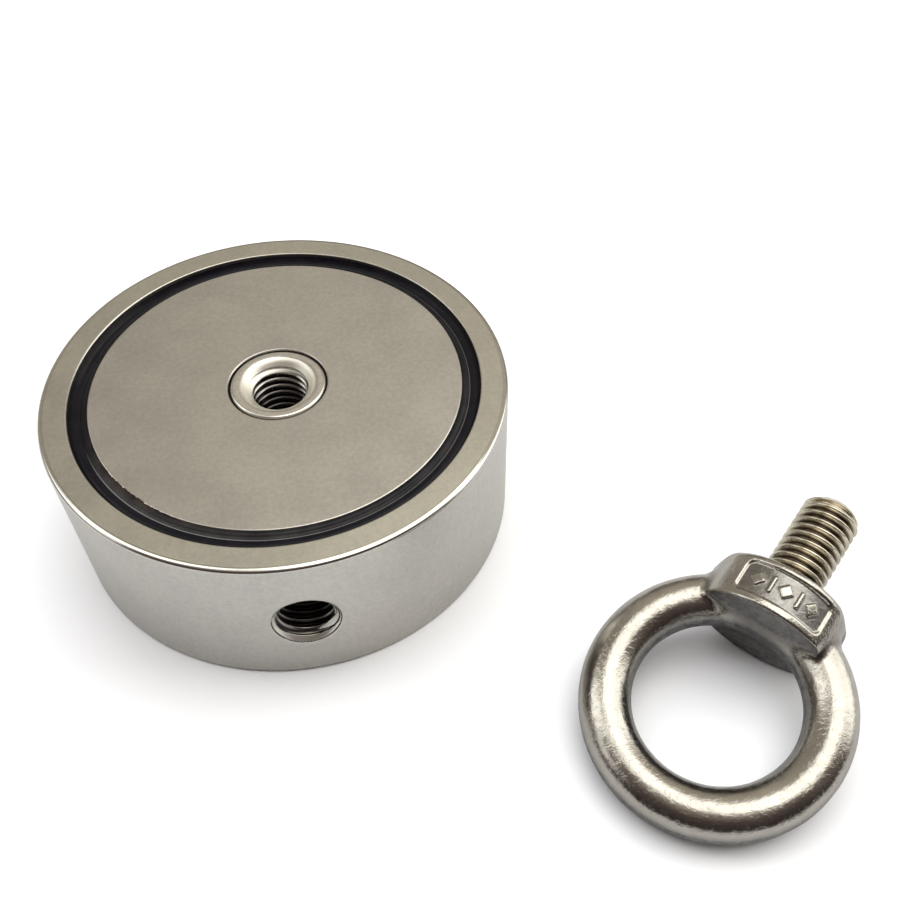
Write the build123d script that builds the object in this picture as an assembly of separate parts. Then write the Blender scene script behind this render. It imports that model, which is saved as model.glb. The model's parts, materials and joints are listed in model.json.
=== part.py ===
from build123d import *

# Double-sided magnet fishing magnet, 75 mm across, with a loose M10 lifting eyebolt.
#
# Frame: millimetres, +Z up. The magnet lies flat with its centre over the origin and its lower
# face on z = 0. Its side hole looks along -Y. The eyebolt lies on the same ground beside it.

import os
from math import asin, atan2, degrees, hypot, radians, sin, tan

# ---- magnet ----
HOUSING_R = 37.5          # outside radius of the steel housing
HOUSING_H = 28.0          # face to face
RIM_IN_R = 33.0           # inside radius of the rim, which is the wall of both pockets
POCKET_D = 7.5            # depth of each pocket; the web between them carries the side hole
RIM_EDGE = 0.7            # rounding of the rim's outside edge
RIM_IN_EDGE = 0.25        # rounding of the rim's inside edge
MAGNET_R = 30.0
MAGNET_BORE_R = 8.0
MAGNET_H = 7.0
MAGNET_EDGE = 0.3
BOND_H = 0.3              # adhesive under each magnet
POTTING_LOW = 0.25        # how far the potting stands below the rim's face where it meets the magnet
VALLEY_W = 1.35           # the potting's lowest line: how far it is from the magnet
VALLEY_D = 0.85           # and how much lower than the potting's edge at the magnet
OUTER_RISE = 0.4          # how much the potting rises again from that line to the rim
SEAL_LOW = 0.8            # how far the narrow ring of resin round the sleeve stands below the rim's face
SEAL_DIP = 0.15           # how much lower its middle is
SLEEVE_R = 7.65
SLEEVE_LOW = 0.2          # each end of the sleeve is this far below the rim's face
SLEEVE_EDGE = 0.45
MOUTH_R = 5.95            # countersink of the centre hole
SIDE_MOUTH_R = 5.7        # countersink of the side hole, on the housing's outermost line
SIDE_DRILL_D = 24.0       # full-diameter depth of the side hole
SIDE_THREAD_D = 21.0
DRILL_POINT = 118.0       # included angle of the drill's cone, degrees

# ---- M10 x 1.5 thread, drawn as rings one pitch apart ----
PITCH = 1.5
HOLE_CREST_R = 4.25       # a tapped hole's minor radius
HOLE_ROOT_R = 5.0
BOLT_CREST_R = 4.925      # a bolt's major radius
BOLT_ROOT_R = 4.12
CREST_W = 0.3             # flat on top of each crest
ROOT_W = 0.3              # flat at the bottom of each groove

# ---- eyebolt, in its own axes: ring centre at 0, shank along +X, ring lying in XY ----
RING_R = 16.95            # to the middle of the ring's section
RING_SECTION_R = 4.1
RING_FLAT_R = 20.9        # the ring's ground outside band
COLLAR_X0, COLLAR_X1 = 13.2, 21.7
SIDE_Y = 10.75            # half width of the collar on its parting line
SIDE_DRAFT = 0.28         # how much narrower it gets per millimetre above or below that line
UPPER_PAD_R = 12.0        # curvature of the marked pad
UPPER_PAD_TOP = 9.6       # shank axis to the middle of the marked pad
LOWER_PAD_R = 14.0
LOWER_PAD_TOP = 10.25
SEAT_EDGE = 1.2
UPPER_BACK_EDGE = 0.4
LOWER_BACK_EDGE = 1.2
CORNER_EDGE = 0.5
BLEND = 1.5               # rounding where the ring's arms run into the collar
SHANK_END = 39.0
NECK = 0.7                # plain, thicker stretch of the shank under the seat
TIP_CHAMFER = 1.0
PANEL_L, PANEL_W, PANEL_D, PANEL_CORNER = 15.1, 5.3, 0.45, 1.1
PANEL_Y = -1.1            # the panel isn't quite in the middle of its pad
MARK_H = 0.3              # raised marks in the pad's sunk panel: three diamonds and two bars
MARK_STEP = 2.4
DIAMOND = 1.9
BAR_L, BAR_W = 3.0, 0.7

# ---- where the eyebolt lies ----
EYE_X, EYE_Y = 59.08, -58.69
EYE_HEADING = 43.3        # shank direction, degrees from +X


def rest_tilt():
    """The shank's slope when the ring's far end and the collar's rounded back edge touch the ground."""
    along = RING_R + COLLAR_X0 + LOWER_BACK_EDGE
    down = LOWER_PAD_TOP - LOWER_BACK_EDGE
    return degrees(atan2(down, along) - asin((RING_SECTION_R - LOWER_BACK_EDGE) / hypot(down, along)))


TILT = rest_tilt()
EYE_Z = RING_SECTION_R + RING_R * sin(radians(TILT))


def thread_wall(crest_r, root_r, start, end):
    """(radius, height) corners of a threaded wall from start to end, beginning and ending on a crest."""
    flank = (PITCH - CREST_W - ROOT_W) / 2
    turns = int((end - start - CREST_W) / PITCH)
    spare = (end - start - CREST_W - turns * PITCH) / 2
    points = [(crest_r, start)]
    z = start + spare + CREST_W
    for _ in range(turns):
        points += [(crest_r, z), (root_r, z + flank), (root_r, z + flank + ROOT_W), (crest_r, z + PITCH - CREST_W)]
        z += PITCH
    return points + [(crest_r, end)]


def turned(points):
    """A solid of revolution about Z from (radius, height) corners."""
    face = make_face(Plane.XZ * Polyline(*points, close=True))
    return revolve(face, Axis.Z)


def edges_at(solid, radius, height):
    """The full circles of this radius about Z at this height."""
    return [
        e for e in solid.edges().filter_by(GeomType.CIRCLE)
        if abs(e.radius - radius) < 0.01 and abs(e.arc_center.Z - height) < 0.01
    ]


def housing():
    lo, hi = POCKET_D, HOUSING_H - POCKET_D
    body = turned([
        (SLEEVE_R, lo), (RIM_IN_R, lo), (RIM_IN_R, 0), (HOUSING_R, 0),
        (HOUSING_R, HOUSING_H), (RIM_IN_R, HOUSING_H), (RIM_IN_R, hi), (SLEEVE_R, hi),
    ])
    for z in (0, HOUSING_H):
        body = fillet(edges_at(body, HOUSING_R, z), RIM_EDGE)
        body = fillet(edges_at(body, RIM_IN_R, z), RIM_IN_EDGE)
    return body - side_hole()


def side_hole():
    """Drilled, countersunk and threaded space of the side hole, with its mouth on -Y."""
    outside = 2.0
    sink = SIDE_MOUTH_R - HOLE_CREST_R
    tip = HOLE_CREST_R / tan(radians(DRILL_POINT / 2))
    wall = thread_wall(HOLE_CREST_R, HOLE_ROOT_R, sink, SIDE_THREAD_D)
    space = turned(
        [(0, -outside), (SIDE_MOUTH_R + outside, -outside)] + wall
        + [(HOLE_CREST_R, SIDE_DRILL_D), (0, SIDE_DRILL_D + tip)]
    )
    return Pos(0, -HOUSING_R, HOUSING_H / 2) * Rot(-90, 0, 0) * space


def sleeve():
    lo, hi = SLEEVE_LOW, HOUSING_H - SLEEVE_LOW
    sink = MOUTH_R - HOLE_CREST_R
    wall = thread_wall(HOLE_CREST_R, HOLE_ROOT_R, lo + sink, hi - sink)
    body = turned(
        [(MOUTH_R, lo)] + wall + [(MOUTH_R, hi), (SLEEVE_R, hi), (SLEEVE_R, lo)]
    )
    for z in (lo, hi):
        body = fillet(edges_at(body, SLEEVE_R, z), SLEEVE_EDGE)
    return body


def magnet():
    """The upper magnet ring; the lower one is its mirror image."""
    z0 = HOUSING_H - POCKET_D + BOND_H
    z1 = z0 + MAGNET_H
    body = turned([(MAGNET_BORE_R, z0), (MAGNET_R, z0), (MAGNET_R, z1), (MAGNET_BORE_R, z1)])
    for r in (MAGNET_R, MAGNET_BORE_R):
        body = fillet(edges_at(body, r, z1), MAGNET_EDGE)
    return body


def bond():
    z0 = HOUSING_H - POCKET_D
    return turned([(MAGNET_BORE_R, z0), (MAGNET_R, z0), (MAGNET_R, z0 + BOND_H), (MAGNET_BORE_R, z0 + BOND_H)])


def outer_potting():
    """The resin between magnet and rim: it slopes down from the magnet to a valley, then up to the rim."""
    z0, z1 = HOUSING_H - POCKET_D, HOUSING_H - POTTING_LOW
    valley = (MAGNET_R + VALLEY_W, z1 - VALLEY_D)
    at_rim = (RIM_IN_R, z1 - VALLEY_D + OUTER_RISE)
    return turned([(MAGNET_R, z0), (RIM_IN_R, z0), at_rim, valley, (MAGNET_R, z1)])


def inner_potting():
    """The narrow ring of resin round the sleeve, a little hollow on top."""
    z0, z1 = HOUSING_H - POCKET_D, HOUSING_H - SEAL_LOW
    middle = ((SLEEVE_R + MAGNET_BORE_R) / 2, z1 - SEAL_DIP)
    return turned([(SLEEVE_R, z0), (MAGNET_BORE_R, z0), (MAGNET_BORE_R, z1), middle, (SLEEVE_R, z1)])


def lower(solid):
    """The same piece in the lower pocket."""
    return Pos(0, 0, HOUSING_H) * Rot(180, 0, 0) * solid


def ring():
    section = Circle(RING_SECTION_R) - Pos(RING_FLAT_R - RING_R + 5, 0) * Rectangle(10, 10)
    return revolve(Plane.XZ * Pos(RING_R, 0) * section, Axis.Z)


def pad_outline(side, pad_r, pad_top):
    """Half the collar seen along the shank: an arched pad over sides that slope from the parting line."""
    reach = side * pad_r
    near = SIDE_Y - SIDE_DRAFT * pad_r
    sides = make_face(Polyline((SIDE_Y, 0), (near, reach), (-near, reach), (-SIDE_Y, 0), close=True))
    return sides & (Pos(0, side * (pad_top - pad_r)) * Circle(pad_r))


def half_collar(side, pad_r, pad_top, back_edge):
    """The collar above (side 1) or below (side -1) its parting line."""
    across = Plane(origin=(COLLAR_X0, 0, 0), x_dir=(0, 1, 0), z_dir=(1, 0, 0))
    body = extrude(across * pad_outline(side, pad_r, pad_top), COLLAR_X1 - COLLAR_X0)
    body = fillet([e for e in body.edges().filter_by(Axis.X) if abs(e.center().Z) > 1], CORNER_EDGE)
    for end, size in ((-1, SEAT_EDGE), (0, back_edge)):
        rim = body.faces().sort_by(Axis.X)[end].edges()
        body = fillet([e for e in rim if abs(e.center().Z) > 0.01], size)
    return body


def collar():
    upper = half_collar(1, UPPER_PAD_R, UPPER_PAD_TOP, UPPER_BACK_EDGE)
    return upper + half_collar(-1, LOWER_PAD_R, LOWER_PAD_TOP, LOWER_BACK_EDGE)


def shank():
    root = (COLLAR_X0 + COLLAR_X1) / 2
    tip_r = BOLT_CREST_R - TIP_CHAMFER
    wall = thread_wall(BOLT_CREST_R, BOLT_ROOT_R, COLLAR_X1 + NECK, SHANK_END - TIP_CHAMFER)
    body = turned(
        [(0, root), (BOLT_CREST_R + NECK, root), (BOLT_CREST_R + NECK, COLLAR_X1)]
        + wall + [(tip_r, SHANK_END), (0, SHANK_END)]
    )
    return Rot(0, 90, 0) * body


def panel_space():
    """The shallow space sunk in the pad, less the raised marks left standing in it."""
    mid = (COLLAR_X0 + COLLAR_X1) / 2
    frame = RectangleRounded(PANEL_W, PANEL_L, PANEL_CORNER)
    marks = Sketch()
    for i in (-2, 0, 2):
        marks += Pos(0, i * MARK_STEP) * Rot(0, 0, 45) * Rectangle(DIAMOND, DIAMOND)
    for i in (-1, 1):
        marks += Pos(0, i * MARK_STEP) * Rectangle(BAR_L, BAR_W)
    floor_r = UPPER_PAD_R - PANEL_D
    shell = curved_slab(floor_r, UPPER_PAD_R + 2)
    raised = curved_slab(floor_r - 1, floor_r + MARK_H)
    up = Pos(mid, PANEL_Y, 0)
    hollow = (up * extrude(frame, 20)) & shell
    return hollow - ((up * extrude(marks, 20)) & raised)


def curved_slab(r0, r1):
    """A tube along X centred on the upper pad's own curve."""
    tube = Circle(r1) - Circle(r0)
    centre = (COLLAR_X0 - 5, 0, UPPER_PAD_TOP - UPPER_PAD_R)
    across = Plane(origin=centre, x_dir=(0, 1, 0), z_dir=(1, 0, 0))
    return extrude(across * tube, COLLAR_X1 - COLLAR_X0 + 10)


def lies_on_ring(edge):
    """Whether an edge runs on the ring's round surface, on the collar's side of it."""
    spots = [edge @ t for t in (0.1, 0.5, 0.9)]
    off = [abs(hypot(hypot(p.X, p.Y) - RING_R, p.Z) - RING_SECTION_R) for p in spots]
    return max(off) < 0.02 and spots[1].X > 9


def eyebolt():
    cast = ring() + collar()
    joins = [e for e in cast.edges() if lies_on_ring(e) and e.geom_type != GeomType.CIRCLE]
    cast = fillet(joins, BLEND)
    body = cast + shank() - panel_space()
    return Pos(EYE_X, EYE_Y, EYE_Z) * Rot(0, 0, EYE_HEADING) * Rot(0, -TILT, 0) * body


PARTS = {
    "housing": housing,
    "centre_sleeve": sleeve,
    "magnet_upper": magnet,
    "magnet_lower": lambda: lower(magnet()),
    "bond_upper": bond,
    "bond_lower": lambda: lower(bond()),
    "potting_upper": outer_potting,
    "potting_lower": lambda: lower(outer_potting()),
    "sleeve_seal_upper": inner_potting,
    "sleeve_seal_lower": lambda: lower(inner_potting()),
    "eyebolt": eyebolt,
}

os.makedirs("parts", exist_ok=True)
for name, make in PARTS.items():
    shape = make()
    shape.label = name
    export_step(shape, f"parts/{name}.step")
    box = shape.bounding_box()
    print(f"{name:20s} volume {shape.volume:10.1f}  solids {len(shape.solids())}  valid {shape.is_valid}  "
          f"z {box.min.Z:.3f} to {box.max.Z:.3f}")
print(f"eyebolt tilt {TILT:.3f} degrees, ring centre z {EYE_Z:.3f}")
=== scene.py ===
"""Looks of the double-sided fishing magnet and its loose eyebolt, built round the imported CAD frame.

Lengths are in millimetres in this script and become metres when a mesh is made.
"""
import json
import math

import bmesh
import bpy
import numpy as np
from mathutils import Matrix, Vector


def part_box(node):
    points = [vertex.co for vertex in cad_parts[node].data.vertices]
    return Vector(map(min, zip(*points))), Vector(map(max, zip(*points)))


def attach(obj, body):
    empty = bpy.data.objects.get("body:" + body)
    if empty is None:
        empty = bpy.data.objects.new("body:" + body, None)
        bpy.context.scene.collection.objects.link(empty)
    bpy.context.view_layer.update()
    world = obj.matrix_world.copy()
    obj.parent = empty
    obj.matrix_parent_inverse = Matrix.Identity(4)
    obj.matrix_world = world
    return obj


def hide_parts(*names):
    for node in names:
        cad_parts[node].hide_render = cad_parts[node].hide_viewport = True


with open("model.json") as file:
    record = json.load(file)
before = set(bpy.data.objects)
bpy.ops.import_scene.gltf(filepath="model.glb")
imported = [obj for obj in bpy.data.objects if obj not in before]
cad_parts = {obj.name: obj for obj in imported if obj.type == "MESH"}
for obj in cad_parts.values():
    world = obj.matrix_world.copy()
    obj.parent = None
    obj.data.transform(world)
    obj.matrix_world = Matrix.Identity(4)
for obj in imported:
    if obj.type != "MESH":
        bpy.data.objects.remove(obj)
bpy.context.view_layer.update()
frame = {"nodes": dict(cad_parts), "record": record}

MM = 0.001
TAU = 2 * math.pi
mounts = {m["name"]: m for m in frame["record"]["mounts"]}


def box_mm(node):
    """Lowest and highest corner of a CAD node, in millimetres."""
    low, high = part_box(node)
    return np.array(low) / MM, np.array(high) / MM


# ---- driving sizes, read from the CAD nodes where they show ----
HOUSING_R = box_mm("housing")[1][0]
HEIGHT = box_mm("housing")[1][2]
RIM_IN_R = box_mm("potting_upper")[1][0]
MAGNET_R = box_mm("magnet_upper")[1][0]
MAGNET_Z0, MAGNET_Z1 = box_mm("magnet_upper")[0][2], box_mm("magnet_upper")[1][2]
POCKET_Z = box_mm("potting_upper")[0][2]
POTTING_Z = box_mm("potting_upper")[1][2]
BORE_R = box_mm("sleeve_seal_upper")[1][0]
SEAL_Z = box_mm("sleeve_seal_upper")[1][2]
SLEEVE_R = box_mm("centre_sleeve")[1][0]
SLEEVE_Z0, SLEEVE_Z1 = box_mm("centre_sleeve")[0][2], box_mm("centre_sleeve")[1][2]

RIM_EDGE = 0.6            # rounding between the rim's bevel and the side
BEVEL_W, BEVEL_DROP = 0.75, 0.21    # shallow bevel along the rim's outside edge
BEVEL_EDGE = 0.5
RIM_IN_EDGE = 0.25
MAGNET_EDGE = 0.25
SLEEVE_EDGE = 0.45
VALLEY_W, VALLEY_D = 1.35, 0.85    # the potting's valley: its distance from the magnet and its depth
OUTER_RISE = 0.4          # from there up to the rim
BEAD_R = 0.14             # the fine bead where the two pours of resin meet
SMEAR_AT, SMEAR_W = math.radians(221), 0.24    # resin over the magnet's edge: where it is widest, how wide
DUST_AND_SHEEN_START = math.radians(196)    # where the groove's dust and painted sheen begin
DUST_AND_SHEEN = ((0, 0), (16, 1), (50, 0.9), (105, 0.45), (150, 0.4), (200, 0.15), (360, 0))   # degrees on from there
SEAL_DIP = 0.15
MOUTH_R = 5.95            # countersink of the centre hole
MOUTH_EDGE = 1.8          # rounding from its cone to the sleeve's face
SIDE_MOUTH_R = 5.7        # countersink of the side hole
SIDE_DEPTH = 24.0
SIDE_PLAIN = 3.0          # unthreaded stretch at its bottom
DRILL_POINT = 118.0       # included angle of the cone below that, in degrees
PITCH = 1.5
HOLE_CREST_R, HOLE_ROOT_R = 4.25, 5.0
BOLT_CREST_R, BOLT_ROOT_R = 4.925, 4.12
TURN = 192                # steps round a lathed piece


# ---------------------------------------------------------------- mesh helpers
def add_piece(name, verts, faces, body, slot, material, *nodes):
    """A mesh object from millimetre points, riding on a body in place of CAD nodes."""
    mesh = bpy.data.meshes.new(name)
    mesh.from_pydata((np.asarray(verts) * MM).tolist(), [], [list(f) for f in faces])
    work = bmesh.new()
    work.from_mesh(mesh)
    bmesh.ops.remove_doubles(work, verts=work.verts, dist=2e-6)
    bmesh.ops.dissolve_degenerate(work, edges=work.edges, dist=1e-7)
    bmesh.ops.recalc_face_normals(work, faces=work.faces)
    work.to_mesh(mesh)
    work.free()
    mesh.shade_smooth()
    piece = bpy.data.objects.new(name, mesh)
    bpy.context.scene.collection.objects.link(piece)
    mesh.materials.append(material)
    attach(piece, body)
    if nodes:
        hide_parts(*nodes)
    return piece


def paint(piece, name, field):
    """Stores field(points in millimetres) on the points of a piece, for its material to read."""
    mesh = piece.data
    points = np.empty(len(mesh.vertices) * 3)
    mesh.vertices.foreach_get("co", points)
    values = field(points.reshape(-1, 3) / MM)
    values = np.clip(values, 0, 1).astype(np.float32)
    mesh.attributes.new(name, "FLOAT", "POINT").data.foreach_set("value", values)


def rounded(corners, steps=6, guard=0.12):
    """(radius, height, rounding) corners of an open line as points, with arcs at the rounded ones.

    Each arc gets one extra point a little way off at both ends, which keeps the flats flat when shaded.
    """
    points = []
    for i, (r, z, edge) in enumerate(corners):
        if edge == 0 or i in (0, len(corners) - 1):
            points.append((r, z))
            continue
        here = Vector((r, z))
        before = (Vector(corners[i - 1][:2]) - here).normalized()
        after = (Vector(corners[i + 1][:2]) - here).normalized()
        half = before.angle(after) / 2
        reach = edge / math.tan(half)
        centre = here + (before + after).normalized() * edge / math.sin(half)
        start, end = here + before * reach - centre, here + after * reach - centre
        sweep = start.angle_signed(end)
        points.append(tuple(here + before * (reach + guard)))
        for k in range(steps + 1):
            turn = Matrix.Rotation(-sweep * k / steps, 2)
            points.append(tuple(centre + turn @ start))
        points.append(tuple(here + after * (reach + guard)))
    return points


def lathe(points, steps=TURN, closed=True):
    """Vertices and faces of (radius, height) points turned about Z."""
    profile = np.array(points, float)
    angle = np.arange(steps) * TAU / steps
    n = len(profile)
    verts = np.stack([
        np.outer(np.cos(angle), profile[:, 0]),
        np.outer(np.sin(angle), profile[:, 0]),
        np.tile(profile[:, 1], (steps, 1)),
    ], axis=2).reshape(-1, 3)
    faces = []
    for a in range(steps):
        b = (a + 1) % steps
        for k in range(n if closed else n - 1):
            m = (k + 1) % n
            faces.append((a * n + k, b * n + k, b * n + m, a * n + m))
    return verts, faces


def join(*parts):
    """Several (verts, faces) pairs as one."""
    verts, faces, base = [], [], 0
    for v, f in parts:
        verts.append(np.asarray(v, float))
        faces += [tuple(i + base for i in face) for face in f]
        base += len(v)
    return np.vstack(verts), faces


def thread_radius(s, crest, root):
    """Radius of a thread at s turns along its axis, with the crest at whole numbers."""
    off = np.abs(s - np.round(s))             # 0 on the crest, 0.5 in the root
    x = np.clip((off - 0.08) / 0.34, 0, 1)
    soft = x * x * (3 - 2 * x)
    return crest + (root - crest) * (0.6 * x + 0.4 * soft)


def helical_wall(z0, z1, crest, root, limit, steps, rows):
    """A threaded wall about Z from z0 to z1, its mesh running along the helix.

    limit(radius, z) trims the radius, as a countersink or a chamfer does. rows is the number per turn.
    """
    first = int(math.floor((z0 - PITCH) / PITCH * rows))
    last = int(math.ceil((z1 + PITCH) / PITCH * rows))
    count = last - first + 1
    row = np.arange(count)[:, None] + first
    col = np.arange(steps + 1)[None, :]
    z = (row / rows + col / steps) * PITCH
    s = np.broadcast_to(row / rows, z.shape)
    angle = np.broadcast_to(col / steps * TAU, z.shape)
    z = np.clip(z, z0, z1)
    radius = limit(thread_radius(s, crest, root), z)
    verts = np.stack([radius * np.cos(angle), radius * np.sin(angle), z], axis=2).reshape(-1, 3)
    faces = []
    w = steps + 1
    inside = (z[:-1, :-1] < z1) | (z[1:, 1:] < z1)
    inside &= (z[1:, 1:] > z0) | (z[:-1, :-1] > z0)
    for i, j in np.argwhere(inside):
        faces.append((i * w + j, i * w + j + 1, (i + 1) * w + j + 1, (i + 1) * w + j))
    return verts, faces


# ---------------------------------------------------------------- materials
def new_material(name):
    material = bpy.data.materials.new(name)
    material.use_nodes = True
    tree = material.node_tree
    return material, tree, tree.nodes["Principled BSDF"]


def noise(tree, scale, detail=3.0, rough=0.5, distortion=0.0, vector=None):
    node = tree.nodes.new("ShaderNodeTexNoise")
    node.inputs["Scale"].default_value = scale
    node.inputs["Detail"].default_value = detail
    node.inputs["Roughness"].default_value = rough
    node.inputs["Distortion"].default_value = distortion
    if vector is None:
        vector = tree.nodes.new("ShaderNodeTexCoord").outputs["Object"]
    tree.links.new(vector, node.inputs["Vector"])
    return node.outputs["Fac"]


def ramp(tree, source, low, high, lo_value, hi_value):
    """source from low to high mapped to lo_value to hi_value."""
    node = tree.nodes.new("ShaderNodeMapRange")
    node.inputs["From Min"].default_value = low
    node.inputs["From Max"].default_value = high
    node.inputs["To Min"].default_value = lo_value
    node.inputs["To Max"].default_value = hi_value
    tree.links.new(source, node.inputs["Value"])
    return node.outputs["Result"]


def mix_colour(tree, source, a, b):
    return Sums(tree).blend("MIX", source, a, b)


def bump(tree, shader, height, strength, distance):
    node = tree.nodes.new("ShaderNodeBump")
    node.inputs["Strength"].default_value = strength
    node.inputs["Distance"].default_value = distance
    tree.links.new(height, node.inputs["Height"])
    previous = shader.inputs["Normal"].links
    if previous:
        tree.links.new(previous[0].from_socket, node.inputs["Normal"])
    tree.links.new(node.outputs["Normal"], shader.inputs["Normal"])


class Sums:
    """Short names for the math nodes of one tree."""

    def __init__(self, tree):
        self.tree = tree

    def math(self, operation, *inputs):
        node = self.tree.nodes.new("ShaderNodeMath")
        node.operation = operation
        for socket, value in zip(node.inputs, inputs):
            if isinstance(value, (int, float)):
                socket.default_value = value
            else:
                self.tree.links.new(value, socket)
        return node.outputs[0]

    def length(self, a, b):
        return self.math("SQRT", self.math("ADD", self.math("POWER", a, 2.0), self.math("POWER", b, 2.0)))

    def smooth(self, source, start, end):
        """0 at start rising smoothly to 1 at end."""
        node = self.tree.nodes.new("ShaderNodeMapRange")
        node.interpolation_type = "SMOOTHSTEP"
        node.inputs["From Min"].default_value = start
        node.inputs["From Max"].default_value = end
        self.tree.links.new(source, node.inputs["Value"])
        return node.outputs["Result"]

    def dot(self, source, vector):
        node = self.tree.nodes.new("ShaderNodeVectorMath")
        node.operation = "DOT_PRODUCT"
        node.inputs[1].default_value = vector
        self.tree.links.new(source, node.inputs[0])
        return node.outputs["Value"]

    def gradient(self, elevation, stops):
        node = self.tree.nodes.new("ShaderNodeValToRGB")
        self.tree.links.new(self.math("DIVIDE", elevation, 90.0), node.inputs[0])
        points = node.color_ramp.elements
        points.remove(points[-1])
        for i, (height, colour) in enumerate(stops):
            point = points[0] if i == 0 else points.new(height / 90)
            point.position = height / 90
            point.color = (*colour, 1)
        return node.outputs["Color"]

    def blend(self, kind, factor, a, b):
        node = self.tree.nodes.new("ShaderNodeMix")
        node.data_type = "RGBA"
        node.blend_type = kind
        self.tree.links.new(factor, node.inputs["Factor"])
        for socket, value in ((node.inputs["A"], a), (node.inputs["B"], b)):
            if isinstance(value, tuple):
                socket.default_value = (*value, 1)
            else:
                self.tree.links.new(value, socket)
        return node.outputs["Result"]


def thread_light(tree, distance, depth, start, reach):
    """1 on open metal; inside a tapped hole painted shade takes it to 0 in the roots and, over reach, with
    depth.

    distance is from the hole's axis. It and depth are in metres, start and reach in millimetres.
    """
    sums = Sums(tree)
    crest = sums.smooth(distance, (HOLE_CREST_R + 0.42) * MM, (HOLE_CREST_R + 0.06) * MM)
    fade = sums.math("MAXIMUM", sums.smooth(depth, (start + reach) * MM, (start - 1.0) * MM), 0.1)
    inside = sums.math(
        "MULTIPLY", sums.smooth(depth, (start - 0.25) * MM, (start + 0.1) * MM),
        sums.smooth(distance, (HOLE_ROOT_R + 0.4) * MM, (HOLE_ROOT_R + 0.15) * MM))
    bottom = SIDE_DEPTH + 5                       # the far side of the housing stays lit
    inside = sums.math("MULTIPLY", inside, sums.smooth(depth, (bottom + 1) * MM, bottom * MM))
    shade = sums.math("MULTIPLY", inside, sums.math("SUBTRACT", 1.0, sums.math("MULTIPLY", crest, fade)))
    return sums.math("SUBTRACT", 1.0, shade)


def object_xyz(tree):
    split = tree.nodes.new("ShaderNodeSeparateXYZ")
    tree.links.new(tree.nodes.new("ShaderNodeTexCoord").outputs["Object"], split.inputs[0])
    return split.outputs


def centre_hole_marks(tree):
    """Painted shade in the centre hole, and where its countersink is fresh cut metal."""
    sums = Sums(tree)
    x, y, z = object_xyz(tree)
    depth = sums.math("MINIMUM", sums.math("SUBTRACT", SLEEVE_Z1 * MM, z),
                      sums.math("SUBTRACT", z, SLEEVE_Z0 * MM))
    lit = thread_light(tree, sums.length(x, y), depth, MOUTH_R - HOLE_CREST_R, 7.0)
    cut = sums.math("MULTIPLY", sums.smooth(depth, 0.02 * MM, 0.2 * MM),
                    sums.smooth(depth, 1.9 * MM, 1.6 * MM))
    return lit, cut


def side_hole_marks(tree):
    """Painted shade in the side hole, where its countersink is fresh cut, a painted shadow line round that,
    and its worn edge.
    """
    sums = Sums(tree)
    x, y, z = object_xyz(tree)
    distance = sums.length(x, sums.math("SUBTRACT", z, HEIGHT / 2 * MM))
    depth = sums.math("ADD", y, HOUSING_R * MM)
    lit = thread_light(tree, distance, depth, SIDE_MOUTH_R - HOLE_CREST_R, 4.0)
    # on the countersink's cone the depth and the distance from the axis add up to its mouth radius
    across = sums.math("ADD", distance, depth)

    def beyond(start, end):
        return sums.smooth(across, (SIDE_MOUTH_R + start) * MM, (SIDE_MOUTH_R + end) * MM)

    cut = beyond(0.012, 0.004)
    # a thin mottled painted shadow line just outside the countersink's cut edge
    lip_shadow = sums.math("MULTIPLY", beyond(0.004, 0.01), beyond(0.05, 0.025))
    lip_shadow = sums.math("MULTIPLY", lip_shadow, ramp(tree, noise(tree, 900, 2), 0.33, 0.45, 0.3, 1.0))
    return lit, cut, lip_shadow, beyond(0.5, 0.4)


def rim_marks(tree):
    """Where the housing's rim is flat, to be darkened as painted shade, and where its outer edge is
    burnished.
    """
    sums = Sums(tree)
    x, y, z = object_xyz(tree)
    height = sums.math("ABSOLUTE", sums.math("SUBTRACT", z, HEIGHT / 2 * MM))
    flat = sums.smooth(height, (HEIGHT / 2 - 0.1) * MM, (HEIGHT / 2 - 0.02) * MM)
    edge = sums.math("MULTIPLY", sums.smooth(height, (HEIGHT / 2 - 0.9) * MM, (HEIGHT / 2 - 0.7) * MM),
                     sums.smooth(sums.length(x, y), (HOUSING_R - 1.0) * MM, (HOUSING_R - 0.8) * MM))
    return flat, edge


def nickel(name, light, dark, rough, grain, hole=None):
    """Satin nickel plate: cloudy colour and gloss, with a fine grain. hole says which tapped hole it has."""
    material, tree, shader = new_material(name)
    shader.inputs["Metallic"].default_value = 1.0
    sums = Sums(tree)
    clouds = ramp(tree, noise(tree, 70, 4, 0.6), 0.35, 0.65, 0, 0.45)
    specks = ramp(tree, noise(tree, 1300, 4, 0.8), 0.36, 0.64, 0, 0.75)
    colour = mix_colour(tree, sums.math("ADD", clouds, specks), dark, light)
    gloss = ramp(tree, noise(tree, 140, 5, 0.6), 0.2, 0.8, *rough)
    if hole == "centre":
        lit, cut = centre_hole_marks(tree)
    if hole == "side":
        lit, cut, lip_shadow, worn = side_hole_marks(tree)
        flat, edge = rim_marks(tree)
        # the painted shadow line round the side hole's countersink
        colour = sums.blend("MIX", lip_shadow, colour, PAINTED_SHADE)
        # painted shade on the rim's flat top
        colour = sums.blend("MULTIPLY", flat, colour, RIM_SHADE)
        edge = sums.math("MAXIMUM", edge, worn)
        gloss = sums.math("MULTIPLY", gloss, sums.math("SUBTRACT", 1.0, sums.math("MULTIPLY", edge, BURNISH)))
    if hole:
        gloss = sums.math("ADD", gloss, sums.math("MULTIPLY", cut, CUT_ROUGH))
        # the tapped holes' painted shade, over the countersinks' fresh cut metal
        colour = sums.blend("MIX", lit, PAINTED_SHADE, sums.blend("MIX", cut, colour, FRESH_CUT))
    tree.links.new(colour, shader.inputs["Base Color"])
    tree.links.new(gloss, shader.inputs["Roughness"])
    bump(tree, shader, noise(tree, 1900, 3, 0.6), grain, 0.000004)
    return material


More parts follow.
